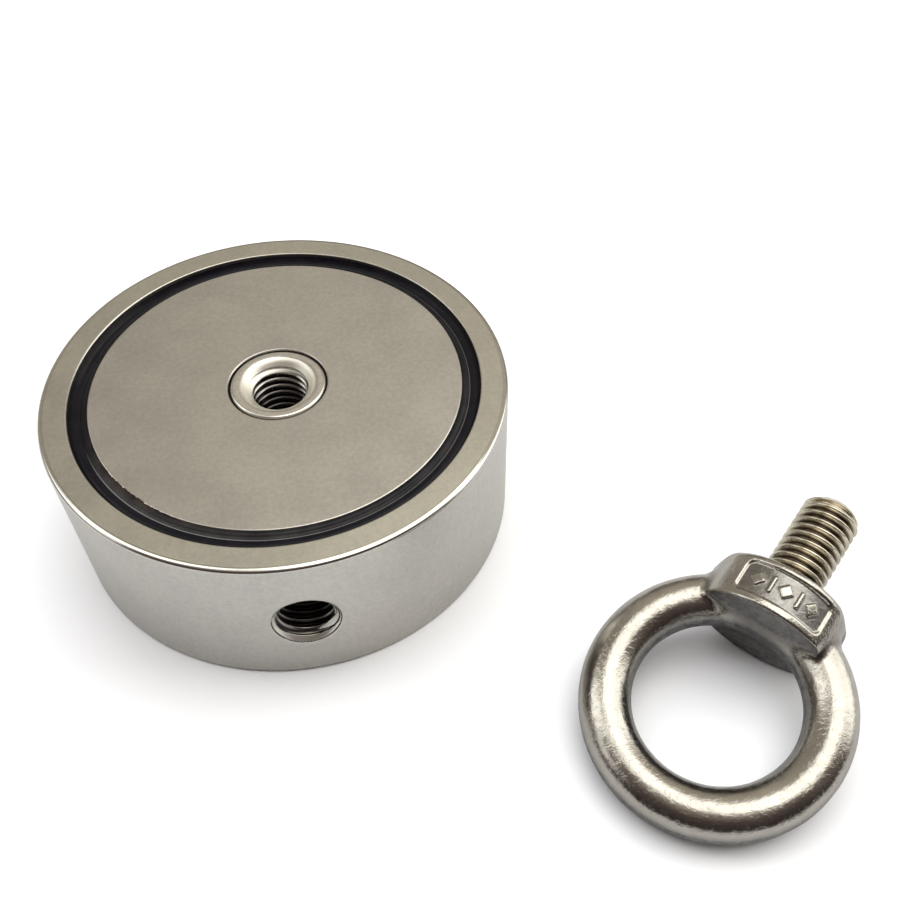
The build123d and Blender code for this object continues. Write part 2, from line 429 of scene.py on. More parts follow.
def attribute(tree, name):
    node = tree.nodes.new("ShaderNodeAttribute")
    node.attribute_name = name
    return node.outputs["Fac"]


def black_resin():
    """Cast epoxy, dull black, paler and browner on the slope beside the magnet from dust and a painted
    reflection and sheen, and with a painted highlight on the bead.
    """
    material, tree, shader = new_material("black_epoxy")
    sums = Sums(tree)
    tone = ramp(tree, noise(tree, 300, 3, 0.5), 0.35, 0.7, 0, 1)
    black = mix_colour(tree, tone, (0.003, 0.003, 0.005), (0.007, 0.006, 0.008))
    # paler brown slope: dust, with a painted reflection and sheen
    dust_and_sheen = mix_colour(tree, tone, (0.034, 0.032, 0.030), (0.066, 0.063, 0.059))
    smear = mix_colour(tree, tone, (0.018, 0.011, 0.010), (0.050, 0.031, 0.025))
    colour = sums.blend("MIX", attribute(tree, "slope"), black, dust_and_sheen)
    # a painted highlight line along the resin's bead
    colour = sums.blend("MIX", attribute(tree, "bead"), colour, (0.17, 0.17, 0.165))
    tree.links.new(sums.blend("MIX", attribute(tree, "smear"), colour, smear), shader.inputs["Base Color"])
    tree.links.new(ramp(tree, noise(tree, 420, 3, 0.5), 0.3, 0.7, 0.22, 0.38), shader.inputs["Roughness"])
    shader.inputs["IOR"].default_value = 1.52
    shader.inputs["Specular IOR Level"].default_value = 0.12
    bump(tree, shader, noise(tree, 350, 3, 0.5), 0.25, 0.00004)
    return material


def amber_glue():
    material, tree, shader = new_material("bond_adhesive")
    tone = noise(tree, 500, 3, 0.5)
    tree.links.new(
        mix_colour(tree, ramp(tree, tone, 0.3, 0.7, 0, 1), (0.22, 0.15, 0.09), (0.36, 0.27, 0.17)),
        shader.inputs["Base Color"],
    )
    shader.inputs["Roughness"].default_value = 0.4
    return material


def cast_stainless():
    """Tumbled cast stainless steel: bright where it was polished, dull and dark where it was never polished
    and where painted shade lies on the sides facing the table.
    """
    material, tree, shader = new_material("eyebolt_stainless")
    shader.inputs["Metallic"].default_value = 1.0
    sums = Sums(tree)
    clouds = ramp(tree, noise(tree, 160, 5, 0.6, 0.5), 0.3, 0.7, 0, 1)
    polished = mix_colour(tree, clouds, (0.37, 0.349, 0.312), (0.465, 0.444, 0.402))
    mottle = ramp(tree, noise(tree, 900, 5, 0.7), 0.34, 0.66, 0, 1)
    dull = mix_colour(tree, mottle, (0.085, 0.082, 0.085), (0.245, 0.237, 0.232))
    dull_and_shade = attribute(tree, "dull_and_shade")
    colour = sums.blend("MIX", dull_and_shade, polished, dull)
    # painted shade in the corner between the ring and the collar
    colour = sums.blend("MIX", attribute(tree, "crevice"), colour, PAINTED_SHADE)
    tree.links.new(colour, shader.inputs["Base Color"])
    grit = ramp(tree, noise(tree, 1700, 4, 0.7), 0.3, 0.72, 0.07, 0.2)
    tree.links.new(sums.math("ADD", grit, sums.math("MULTIPLY", dull_and_shade, 0.25)), shader.inputs["Roughness"])
    bump(tree, shader, noise(tree, 420, 3, 0.5), 0.35, 0.00006)
    bump(tree, shader, ramp(tree, noise(tree, 1500, 3, 0.6), 0.52, 0.66, 0, 1), 0.5, 0.00003)
    bump(tree, shader, noise(tree, 3200, 3, 0.65), 0.65, 0.00004)
    return material


def rolled_thread():
    """The eyebolt's thread: the same steel, with painted shade in the grooves and crests brightened partly by
    wear and partly as painted highlight.
    """
    material, tree, shader = new_material("eyebolt_thread")
    shader.inputs["Metallic"].default_value = 1.0
    sums = Sums(tree)
    clouds = ramp(tree, noise(tree, 260, 4, 0.6), 0.3, 0.7, 0, 1)
    # crests brighter than the cast steel: partly wear, partly painted highlight
    crest = mix_colour(tree, clouds, (0.47, 0.43, 0.35), (0.76, 0.70, 0.57))
    # painted shade in the thread's roots
    groove = mix_colour(tree, clouds, (0.035, 0.026, 0.020), (0.15, 0.115, 0.08))
    tree.links.new(sums.blend("MIX", attribute(tree, "groove"), crest, groove), shader.inputs["Base Color"])
    tree.links.new(ramp(tree, noise(tree, 1200, 3, 0.6), 0.3, 0.7, 0.16, 0.3), shader.inputs["Roughness"])
    bump(tree, shader, noise(tree, 1500, 3, 0.65), 0.4, 0.00002)
    return material


def pale_floor():
    """Pale paper, whiter to the camera than to the metal, as in a photograph with its background lifted."""
    material, tree, shader = new_material("floor_paper")
    sums = Sums(tree)
    tone = ramp(tree, noise(tree, 9, 2, 0.5), 0.3, 0.7, 0, 1)
    seen = mix_colour(tree, tone, (0.90, 0.90, 0.91), (0.93, 0.93, 0.94))
    mirrored = mix_colour(tree, tone, (0.61, 0.607, 0.605), (0.64, 0.637, 0.635))
    to_camera = tree.nodes.new("ShaderNodeLightPath").outputs["Is Camera Ray"]
    tree.links.new(sums.blend("MIX", to_camera, mirrored, seen), shader.inputs["Base Color"])
    shader.inputs["Roughness"].default_value = 0.9
    shader.inputs["Specular IOR Level"].default_value = 0.1
    return material


PAINTED_SHADE = (0.034, 0.029, 0.030)      # painted shade in the tapped holes, along the side hole's lip and in the ring's corner with the collar
FRESH_CUT = (0.82, 0.80, 0.72)     # bare metal of the countersinks
CUT_ROUGH = 0.32                   # how much rougher it is than the plating
RIM_SHADE = (0.92, 0.92, 0.87)      # painted shade that makes the rim's flat top a little darker and warmer than the side
BURNISH = 0.75                     # how much smoother the housing's edges are
HOUSING_METAL = nickel("housing_nickel", (0.62, 0.60, 0.55), (0.50, 0.485, 0.47), (0.28, 0.33), 0.25, "side")
MAGNET_METAL = nickel("magnet_nickel", (0.565, 0.547, 0.498), (0.45, 0.432, 0.412), (0.28, 0.34), 0.2)
SLEEVE_METAL = nickel("sleeve_nickel", (0.69, 0.67, 0.625), (0.55, 0.53, 0.50), (0.12, 0.2), 0.3, "centre")
RESIN = black_resin()
GLUE = amber_glue()
STAINLESS = cast_stainless()
THREAD_STEEL = rolled_thread()
FLOOR = pale_floor()


# ---------------------------------------------------------------- magnet
def wall_point(s, z, radius=HOUSING_R):
    """A point s millimetres round the housing's side from the side hole's line, at height z."""
    a = s / radius
    return (radius * math.sin(a), -radius * math.cos(a), z)


def mouth_reach(angle, extra=0.0):
    """How far from its axis the side hole's countersink meets the round side, in this direction."""
    reach = SIDE_MOUTH_R
    for _ in range(4):
        across = (reach + extra) * math.cos(angle)
        reach = SIDE_MOUTH_R - (HOUSING_R - math.sqrt(HOUSING_R ** 2 - across ** 2))
    return reach + extra


def side_wall(z0, z1, steps):
    """The housing's outside between two heights: a grid with a round patch for the side hole."""
    step = TAU / steps
    half = int(round(13.0 / (HOUSING_R * step)))   # columns on each side of the hole
    rows = 36
    heights = np.linspace(z0, z1, rows + 1)
    verts, faces = [], []
    first = -math.pi / 2 + half * step
    columns = steps - 2 * half
    for c in range(columns + 1):
        a = first + c * step
        verts += [(HOUSING_R * math.cos(a), HOUSING_R * math.sin(a), z) for z in heights]
    w = rows + 1
    for c in range(columns):
        faces += [(c * w + k, (c + 1) * w + k, (c + 1) * w + k + 1, c * w + k + 1) for k in range(rows)]
    grid = (np.array(verts), faces)

    edge = [(c * step * HOUSING_R, z0) for c in range(-half, half)]
    edge += [(half * step * HOUSING_R, z) for z in heights[:-1]]
    edge += [(c * step * HOUSING_R, z1) for c in range(half, -half, -1)]
    edge += [(-half * step * HOUSING_R, z) for z in heights[:0:-1]]
    centre = HEIGHT / 2
    rings = 14
    verts, faces = [], []
    soft = 0.3                                    # worn edge of the countersink
    for s, z in edge:
        angle = math.atan2(z - centre, s)
        rim = mouth_reach(angle, soft)
        inner = (rim * math.cos(angle), centre + rim * math.sin(angle))
        inner = (HOUSING_R * math.asin(inner[0] / HOUSING_R), inner[1])
        for k in range(rings + 1):
            t = (k / rings) ** 1.6
            verts.append(wall_point(inner[0] + (s - inner[0]) * t, inner[1] + (z - inner[1]) * t))
        rim = mouth_reach(angle)
        x = rim * math.cos(angle)
        y = -math.sqrt(HOUSING_R ** 2 - x * x)
        # two more rings turn the edge into the countersink
        verts.append((x, y + 0.02, centre + rim * math.sin(angle)))
        sunk = rim - soft
        verts.append((sunk * math.cos(angle), y + soft, centre + sunk * math.sin(angle)))
    w = rings + 3
    order = [rings + 2, rings + 1] + list(range(rings + 1))
    n = len(edge)
    for a in range(n):
        b = (a + 1) % n
        for k in range(len(order) - 1):
            faces.append((a * w + order[k], b * w + order[k], b * w + order[k + 1], a * w + order[k + 1]))
    patch = (np.array(verts), faces)
    throat = [verts[a * w + rings + 2] for a in range(n)]
    return grid, patch, throat


def side_bore(throat):
    """The threaded side hole from the countersink's lip to the drilled point."""
    n = len(throat)
    rows = 12
    centre = HEIGHT / 2
    verts, faces = list(throat), []
    angles = [math.atan2(z - centre, x) for x, y, z in throat]
    depth0 = [y + HOUSING_R for x, y, z in throat]
    levels = int(SIDE_DEPTH / PITCH * rows)
    for k in range(1, levels + 1):
        for a in range(n):
            depth = depth0[a] + (SIDE_DEPTH - depth0[a]) * k / levels
            cone = SIDE_MOUTH_R - depth
            s = depth / PITCH + angles[a] / TAU
            r = max(float(thread_radius(np.float64(s), HOLE_CREST_R, HOLE_ROOT_R)), cone)
            if depth > SIDE_DEPTH - SIDE_PLAIN:
                r = HOLE_CREST_R
            verts.append((r * math.cos(angles[a]), -HOUSING_R + depth, centre + r * math.sin(angles[a])))
    for k in range(levels):
        for a in range(n):
            b = (a + 1) % n
            faces.append((k * n + a, k * n + b, (k + 1) * n + b, (k + 1) * n + a))
    tip = len(verts)
    beyond = HOLE_CREST_R / math.tan(math.radians(DRILL_POINT / 2))
    verts.append((0, -HOUSING_R + SIDE_DEPTH + beyond, centre))
    faces += [(levels * n + a, levels * n + (a + 1) % n, tip) for a in range(n)]
    return np.array(verts), faces


def make_housing():
    guard = RIM_EDGE + BEVEL_DROP + 0.12
    outline = rounded([
        (HOUSING_R, HEIGHT - guard, 0),
        (HOUSING_R, HEIGHT - BEVEL_DROP, RIM_EDGE),
        (HOUSING_R - BEVEL_W, HEIGHT, BEVEL_EDGE),
        (RIM_IN_R, HEIGHT, RIM_IN_EDGE),
        (RIM_IN_R, POCKET_Z, 0),
        (SLEEVE_R, POCKET_Z, 0),
        (SLEEVE_R, HEIGHT - POCKET_Z, 0),
        (RIM_IN_R, HEIGHT - POCKET_Z, 0),
        (RIM_IN_R, 0, RIM_IN_EDGE),
        (HOUSING_R - BEVEL_W, 0, BEVEL_EDGE),
        (HOUSING_R, BEVEL_DROP, RIM_EDGE),
        (HOUSING_R, guard, 0),
    ], steps=8, guard=0.08)
    grid, patch, throat = side_wall(guard, HEIGHT - guard, TURN)
    verts, faces = join(lathe(outline, closed=False), grid, patch, side_bore(throat))
    add_piece("housing_plated", verts, faces, "magnet", "housing_nickel", HOUSING_METAL, "housing")


def flipped(part):
    """The same piece turned over into the lower pocket."""
    verts, faces = part
    return np.asarray(verts) * (1, -1, -1) + (0, 0, HEIGHT), faces


def make_sleeve():
    def countersunk(radius, z):
        return np.maximum(radius, np.maximum(MOUTH_R - (SLEEVE_Z1 - z), MOUTH_R - (z - SLEEVE_Z0)))

    lip = MOUTH_R - HOLE_ROOT_R - 0.05        # the countersink is a plain cone down to this depth
    outside = rounded([
        (MOUTH_R - lip, SLEEVE_Z1 - lip, 0),
        (MOUTH_R, SLEEVE_Z1, MOUTH_EDGE),
        (SLEEVE_R, SLEEVE_Z1, SLEEVE_EDGE),
        (SLEEVE_R, SLEEVE_Z0, SLEEVE_EDGE),
        (MOUTH_R, SLEEVE_Z0, MOUTH_EDGE),
        (MOUTH_R - lip, SLEEVE_Z0 + lip, 0),
    ], guard=0.05)
    wall = helical_wall(
        SLEEVE_Z0 + lip, SLEEVE_Z1 - lip, HOLE_CREST_R, HOLE_ROOT_R, countersunk, TURN // 2, 16)
    verts, faces = join(lathe(outside, TURN // 2, closed=False), wall)
    add_piece("centre_sleeve_threaded", verts, faces, "magnet", "sleeve_nickel", SLEEVE_METAL,
              "centre_sleeve")


def make_magnets():
    outline = rounded([
        ((BORE_R + MAGNET_R) / 2, MAGNET_Z0, 0),
        (MAGNET_R, MAGNET_Z0, 0),
        (MAGNET_R, MAGNET_Z1, MAGNET_EDGE),
        (BORE_R, MAGNET_Z1, MAGNET_EDGE),
        (BORE_R, MAGNET_Z0, 0),
    ])
    upper = lathe(outline)
    for name, part in (("upper", upper), ("lower", flipped(upper))):
        add_piece(f"magnet_{name}_plated", *part, "magnet", "magnet_nickel", MAGNET_METAL, f"magnet_{name}")


def resin_valley():
    """Profile of the potting: a steep slope down from the magnet, a fine bead, a gentler rise to the rim."""
    foot, low = MAGNET_R + VALLEY_W, POTTING_Z - VALLEY_D
    bead = [
        (foot + BEAD_R * (math.cos(a) - 1), low + BEAD_R * math.sin(a)) for a in np.linspace(math.pi, 0, 13)]
    return [
        (MAGNET_R, POCKET_Z), (MAGNET_R, POTTING_Z), (MAGNET_R + VALLEY_W / 2, POTTING_Z - VALLEY_D * 0.46),
        *bead, (foot + 0.1, low + 0.02), (RIM_IN_R, POTTING_Z - VALLEY_D + OUTER_RISE), (RIM_IN_R, POCKET_Z),
    ]


def seal_dish():
    """Profile of the thin ring of resin round the sleeve, a little hollow on top."""
    mid = (SLEEVE_R + BORE_R) / 2
    return [
        (SLEEVE_R, POCKET_Z), (SLEEVE_R, SEAL_Z), (mid, SEAL_Z - SEAL_DIP),
        (BORE_R, SEAL_Z), (BORE_R, POCKET_Z),
    ]


def edge_smear():
    """A ragged smear of resin over the magnet's edge, widest in one place."""
    steps = TURN * 8
    angle = np.arange(steps) * TAU / steps
    ragged = sum(np.sin(k * angle + 1.7 * k * k) for k in (23, 41, 67, 113, 190, 310)) / 6
    off = (angle - SMEAR_AT + math.pi) % TAU - math.pi
    reach = np.clip(SMEAR_W * np.exp(-(off / 0.27) ** 2) * (1 + 0.9 * ragged), 0.01, None)
    rings = []
    for t in (0.0, 0.0, 0.25, 0.5, 0.75, 1.0):
        r = MAGNET_R + 0.03 - reach * (1 - t)
        over = np.maximum(r - MAGNET_R + MAGNET_EDGE, 0)       # how far onto the magnet's rounded edge
        drop = MAGNET_EDGE - np.sqrt(np.maximum(MAGNET_EDGE ** 2 - over ** 2, 0))
        z = MAGNET_Z1 - drop + (0.03 if rings else -0.05)
        rings.append(np.stack([r * np.cos(angle), r * np.sin(angle), z], axis=1))
    low = MAGNET_Z1 - 0.35
    rings.append(np.stack([(MAGNET_R + 0.03) * np.cos(angle), (MAGNET_R + 0.03) * np.sin(angle),
                           np.full(steps, low)], axis=1))
    verts = np.stack(rings, axis=1).reshape(-1, 3)
    n = len(rings)
    faces = []
    for a in range(steps):
        b = (a + 1) % steps
        faces += [(a * n + k, b * n + k, b * n + (k + 1) % n, a * n + (k + 1) % n) for k in range(n)]
    return verts, faces


def dust_and_sheen_side(points):
    """How much dust and painted sheen the groove gets: most where the resin was smeared, less and less on
    from there.
    """
    turn = np.degrees(np.arctan2(points[:, 1], points[:, 0]) - DUST_AND_SHEEN_START) % 360
    return np.interp(turn, *zip(*DUST_AND_SHEEN))


def on_slope(points):
    """Rises from the magnet down to the bead; 0 on the rest of the resin."""
    radius = np.hypot(points[:, 0], points[:, 1])
    along = (radius - MAGNET_R) / VALLEY_W
    slope = (along > -0.05) & (radius < MAGNET_R + VALLEY_W - BEAD_R)
    return np.where(slope, (0.15 + 0.85 * along) * dust_and_sheen_side(points), 0)


# Painted highlight along the bead, as strong as the groove's dust and painted sheen.
def bead_highlight(points):
    radius = np.hypot(points[:, 0], points[:, 1])
    bead = np.clip(1.4 - np.abs(radius - MAGNET_R - VALLEY_W + BEAD_R) / (0.6 * BEAD_R), 0, 1)
    return bead * dust_and_sheen_side(points)


def on_smear(points):
    radius = np.hypot(points[:, 0], points[:, 1])
    level = np.abs(points[:, 2] - HEIGHT / 2) + HEIGHT / 2
    off = (np.arctan2(points[:, 1], points[:, 0]) - SMEAR_AT + math.pi) % TAU - math.pi
    there = (radius > BORE_R + 1) * (radius < MAGNET_R + 0.04) * (level > MAGNET_Z1 - 0.36)
    return there * np.exp(-(off / 0.4) ** 2)


def make_resin():
    for kind, outline in (("potting", resin_valley()), ("sleeve_seal", seal_dish())):
        upper = lathe(outline)
        if kind == "potting":
            upper = join(upper, edge_smear())
        for name, part in (("upper", upper), ("lower", flipped(upper))):
            piece = add_piece(f"{kind}_{name}_cast", *part, "magnet", "black_epoxy", RESIN, f"{kind}_{name}")
            paint(piece, "slope", on_slope)
            paint(piece, "bead", bead_highlight)
            paint(piece, "smear", on_smear)
    for name in ("upper", "lower"):
        frame["nodes"][f"bond_{name}"].data.materials.clear()
        frame["nodes"][f"bond_{name}"].data.materials.append(GLUE)


# ---------------------------------------------------------------- eyebolt
RING_R, RING_SECTION_R = 16.95, 4.1       # to the middle of the ring's section, and that section
RING_FLAT_R = 20.9                        # the ring's ground outside band
COLLAR_X0, COLLAR_X1 = 13.2, 21.7
SIDE_Y, SIDE_DRAFT = 10.75, 0.28          # the collar's half width, and how fast it narrows away from z = 0
UPPER_PAD_R, UPPER_PAD_TOP = 12.0, 9.6    # each pad's curvature, and its height from the shank's axis
LOWER_PAD_R, LOWER_PAD_TOP = 14.0, 10.25
SEAT_EDGE, UPPER_BACK_EDGE, LOWER_BACK_EDGE, CORNER_EDGE = 1.2, 0.5, 1.2, 0.5
SIDE_BULGE, SIDE_CURVE_X = 0.7, 19.0    # the collar's ends swell a little, then round off towards the seat
BLEND = 1.5                               # between the ring and the collar
SHANK_END, TIP_CHAMFER, NECK = 39.0, 1.25, 0.7
PANEL_L, PANEL_W, PANEL_D, PANEL_CORNER, PANEL_Y = 15.1, 5.3, 0.45, 1.1, -1.1
MARK_H, MARK_STEP, DIAMOND, BAR_L, BAR_W = 0.3, 2.4, 1.9, 3.0, 0.7


def round_max(a, b, r):
    """Where both fields are inside, with the edge between them rounded to radius r."""
    return np.minimum(-r, np.maximum(a, b)) + np.hypot(np.maximum(a + r, 0), np.maximum(b + r, 0))


def round_min(a, b, r):
    """Where either field is inside, with the corner between them filled to radius r."""
    return -round_max(-a, -b, r)


def box_2d(u, v, half_u, half_v, corner):
    qu, qv = np.abs(u) - half_u + corner, np.abs(v) - half_v + corner
    return np.hypot(np.maximum(qu, 0), np.maximum(qv, 0)) + np.minimum(np.maximum(qu, qv), 0) - corner


def hand_finish(x, y, z):
    """Faint waviness that grinding and tumbling leave on a casting, in millimetres."""
    slow = np.sin(0.9 * x + 0.4 * y + 1.1 * z + 0.7) + np.sin(0.5 * x - 1.0 * y + 0.6 * z + 2.1)
    quick = np.sin(1.9 * x + 1.3 * y - 0.8 * z) * np.sin(1.4 * x - 1.7 * y + 1.2 * z + 1.0)
    return 0.008 * slow + 0.006 * quick


def panel_and_marks(x, y, z):
    """Fields of the panel's outline and of the raised marks, both laid out on the upper pad's curve."""
    v = x - (COLLAR_X0 + COLLAR_X1) / 2
    u = np.arctan2(y, z + UPPER_PAD_R - UPPER_PAD_TOP) * UPPER_PAD_R - PANEL_Y
    panel = box_2d(u, v, PANEL_L / 2, PANEL_W / 2, PANEL_CORNER)
    marks = np.full_like(x, 9.0)
    for i in (-2, 0, 2):
        off = np.abs(u - i * MARK_STEP) + np.abs(v) - DIAMOND / math.sqrt(2)
        marks = np.minimum(marks, off / math.sqrt(2))
    for i in (-1, 1):
        marks = np.minimum(marks, box_2d(u - i * MARK_STEP, v, BAR_W / 2, BAR_L / 2, 0.3))
    return panel, marks


def cast_parts(x, y, z):
    """Fields of the ring and of the collar, in the eyebolt's own axes: shank on +X, ring in XY."""
    around = np.hypot(x, y)
    ring = np.hypot(around - RING_R, z) - RING_SECTION_R
    ring = round_max(ring, around - RING_FLAT_R, 0.12)
    bulge = SIDE_BULGE * np.clip((x - COLLAR_X0) / 4, 0, 1) - np.maximum(x - SIDE_CURVE_X, 0) ** 2 / 8
    sides = (np.abs(y) + SIDE_DRAFT * np.abs(z) - SIDE_Y - bulge) / math.hypot(1, SIDE_DRAFT)
    upper = np.hypot(y, z + UPPER_PAD_R - UPPER_PAD_TOP) - UPPER_PAD_R
    under = np.hypot(y, z - LOWER_PAD_R + LOWER_PAD_TOP) - LOWER_PAD_R
    outline = round_max(sides, np.where(z > 0, upper, under), CORNER_EDGE)
    collar = round_max(outline, x - COLLAR_X1, SEAT_EDGE)
    share = np.clip(z / 6 + 0.5, 0, 1)
    back = LOWER_BACK_EDGE + (UPPER_BACK_EDGE - LOWER_BACK_EDGE) * share
    collar = round_max(collar, COLLAR_X0 - x, back)
    panel, marks = panel_and_marks(x, y, z)
    top = z > 0
    hollow = round_max(panel, -(upper + PANEL_D), 0.15)
    collar = np.where(top, round_max(collar, -hollow, 0.5), collar)
    raised = round_max(marks, np.abs(upper + PANEL_D) - MARK_H, 0.25)
    collar = np.where(top, round_min(collar, raised, 0.12), collar)
    neck = np.hypot(y, z) - BOLT_CREST_R - 0.05
    collar = round_min(collar, np.maximum(neck, np.abs(x - COLLAR_X1) - NECK), 0.5)
    return ring, collar


def cast_body(x, y, z):
    ring, collar = cast_parts(x, y, z)
    return round_min(ring, collar, BLEND) + hand_finish(x, y, z)


def unpolished_and_shaded(x, y, z):
    """1 where the casting was never polished, the ring-side face, and as painted shade on the sides facing
    the table, the lower pad and the ring's lower half.

    The panel's floor and the collar's two ends are partly unpolished.
    """
    ring = cast_parts(x, y, z)[0]
    panel = panel_and_marks(x, y, z)[0]
    upper = np.hypot(y, z + UPPER_PAD_R - UPPER_PAD_TOP) - UPPER_PAD_R
    floor = np.clip(-panel / 0.3, 0, 1) * np.clip((-upper - 0.25) / 0.15, 0, 1) * (z > 0)
    back = np.clip((COLLAR_X0 + 0.25 - x) / 0.3, 0, 1) * np.clip((ring - 0.3) / 0.8, 0, 1) * (x > 0)
    # painted shade under the lower pad, which faces the table
    under = np.clip((-z - 5) / 2, 0, 1) * np.clip((ring - 0.3) / 0.8, 0, 1) * (x > 0)
    # painted shade on the ring's lower side, which faces the table
    low = np.clip((2.2 - z) / 1.3, 0, 1)
    ends = 0.4 * np.clip((np.abs(y) - 9.2) / 0.8, 0, 1) * np.clip((ring - 0.3) / 0.8, 0, 1) * (x > COLLAR_X0)
    return np.maximum.reduce([0.65 * floor, back, under, low, ends])


def in_crevice(x, y, z):
    """Painted shade: 1 in the corner between the ring and the collar, fading over about a millimetre."""
    ring, collar = cast_parts(x, y, z)
    return 0.85 * np.clip(1.2 - np.hypot(ring, collar) / 0.9, 0, 1)


def in_groove(x, y, z):
    """Painted shade: 1 in the thread's roots, 0 on its crests and on the tip."""
    depth = BOLT_CREST_R - np.hypot(y, z)
    return np.clip((depth - 0.25) / 0.35, 0, 1) * np.clip(SHANK_END - TIP_CHAMFER - x, 0, 1)


def graded(low, high, fine_low, fine_high, fine, coarse):
    """Grid positions from low to high, closer together between fine_low and fine_high."""
    spots = [low]
    while spots[-1] < high:
        inside = fine_low < spots[-1] + coarse / 2 and spots[-1] < fine_high
        spots.append(spots[-1] + (fine if inside else coarse))
    return np.array(spots)


def surface_net(field, axes):
    """Quads round the zero level of field(x, y, z), sampled at three lists of grid positions."""
    grid = field(*np.meshgrid(*axes, indexing="ij"))
    shape = np.array(grid.shape) - 1
    total, count = np.zeros((*shape, 3)), np.zeros(shape)
    crossings = []
    for axis in range(3):
        a = np.take(grid, range(grid.shape[axis] - 1), axis)
        b = np.take(grid, range(1, grid.shape[axis]), axis)
        spots = np.argwhere((a < 0) != (b < 0))
        va, vb = a[tuple(spots.T)], b[tuple(spots.T)]
        point = np.stack([axes[k][spots[:, k]] for k in range(3)], axis=1)
        gap = axes[axis][spots[:, axis] + 1] - point[:, axis]
        point[:, axis] += gap * va / (va - vb)
        crossings.append((spots, va < 0))
        p, q = (axis + 1) % 3, (axis + 2) % 3
        for dp in (0, 1):
            for dq in (0, 1):
                cell = spots.copy()
                cell[:, p] -= dp
                cell[:, q] -= dq
                np.add.at(total, tuple(cell.T), point)
                np.add.at(count, tuple(cell.T), 1)
    used = count > 0
    index = np.full(shape, -1)
    index[used] = np.arange(used.sum())
    verts = total[used] / count[used][:, None]
    faces = []
    for axis, (spots, rising) in enumerate(crossings):
        p, q = (axis + 1) % 3, (axis + 2) % 3
        ring = []
        for dp, dq in ((0, 0), (1, 0), (1, 1), (0, 1)):
            cell = spots.copy()
            cell[:, p] -= dp
            cell[:, q] -= dq
            ring.append(index[tuple(cell.T)])
        quads = np.stack(ring, axis=1)
        quads[~rising] = quads[~rising][:, ::-1]
        faces.append(quads)
    return verts, np.vstack(faces)


def settle(verts, field, rounds=3):
    """Moves points along the field's slope onto its zero level."""
    tiny = 0.01
    for _ in range(rounds):
        x, y, z = verts.T
        value = field(x, y, z)
        slope = np.stack([
            field(x + tiny, y, z) - field(x - tiny, y, z),
            field(x, y + tiny, z) - field(x, y - tiny, z),
            field(x, y, z + tiny) - field(x, y, z - tiny),
        ], axis=1) / (2 * tiny)
        size = np.maximum((slope ** 2).sum(1), 0.25)
        verts = verts - slope * np.clip(value, -0.15, 0.15)[:, None] / size[:, None]
    return verts


def shank_mesh():
    """The threaded shank about +Z, starting inside the collar and ending in a flat tip."""
    tip_r = BOLT_CREST_R - TIP_CHAMFER

    def trimmed(radius, z):
        return np.minimum(radius, tip_r + (SHANK_END - z))

    steps = 128
    wall = helical_wall(COLLAR_X1 - 0.4, SHANK_END, BOLT_CREST_R, BOLT_ROOT_R, trimmed, steps, 20)
    dished = [(tip_r, SHANK_END), (tip_r * 0.5, SHANK_END - 0.02), (0.0, SHANK_END - 0.03)]
    tip = lathe(dished, steps, closed=False)
    return join(wall, tip)


def eyebolt_place():
    """Matrix from the eyebolt's own axes to the row frame, both in millimetres."""
    along = Vector(mounts["eyebolt_shank"]["axis"]).normalized()
    up = Vector(mounts["eye"]["axis"]).normalized()
    place = Matrix((along, up.cross(along), up)).transposed().to_4x4()
    place.translation = Vector(mounts["eye"]["pos_m"]) / MM
    return np.array(place)


def make_eyebolt():
    reach = RING_R + RING_SECTION_R + 1
    axes = (
        graded(-reach, COLLAR_X1 + 2, 11.5, COLLAR_X1 + 2, 0.17, 0.36),
        graded(-reach, reach, -11.5, 11.5, 0.2, 0.36),
        graded(-LOWER_PAD_TOP - 1, UPPER_PAD_TOP + 1, 4, UPPER_PAD_TOP + 1, 0.2, 0.3),
    )
    verts, quads = surface_net(cast_body, axes)
    verts = settle(verts, cast_body)
    place = eyebolt_place()
    turn, shift = place[:3, :3], place[:3, 3]
    to_x = np.array([[0, 0, 1], [0, 1, 0], [-1, 0, 0]])
    cast = add_piece("eyebolt_cast", verts @ turn.T + shift, quads.tolist(), "eyebolt", "eyebolt_stainless",
                     STAINLESS, "eyebolt")
    paint(cast, "dull_and_shade", lambda points: unpolished_and_shaded(*((points - shift) @ turn).T))
    paint(cast, "crevice", lambda points: in_crevice(*((points - shift) @ turn).T))
    verts, faces = shank_mesh()
    thread = add_piece("eyebolt_thread", verts @ to_x.T @ turn.T + shift, faces, "eyebolt",
                       "eyebolt_stainless", THREAD_STEEL)
    paint(thread, "groove", lambda points: in_groove(*((points - shift) @ turn).T))


# ---------------------------------------------------------------- stage
def make_floor():
    size = 3.0
    mesh = bpy.data.meshes.new("floor")
    corners = [(-size, -size, 0), (size, -size, 0), (size, size, 0), (-size, size, 0)]
    mesh.from_pydata(corners, [], [(0, 1, 2, 3)])
    floor = bpy.data.objects.new("floor", mesh)
    mesh.materials.append(FLOOR)
    bpy.context.scene.collection.objects.link(floor)


def make_fill():
    """A broad soft light from behind and above that reaches the floor but makes no highlight in the metal."""
    data = bpy.data.lights.new("fill", "SUN")
    data.energy = 1.75
    data.angle = math.radians(85)
    data.color = (0.86, 0.91, 1.0)
    lamp = bpy.data.objects.new("fill", data)
    bpy.context.scene.collection.objects.link(lamp)
    h, e = math.radians(CAMERA_HEADING - 25), math.radians(66)
    toward = Vector((math.sin(h) * math.cos(e), math.cos(h) * math.cos(e), math.sin(e)))
    lamp.rotation_euler = toward.to_track_quat("Z", "Y").to_euler()
    lamp.visible_glossy = False


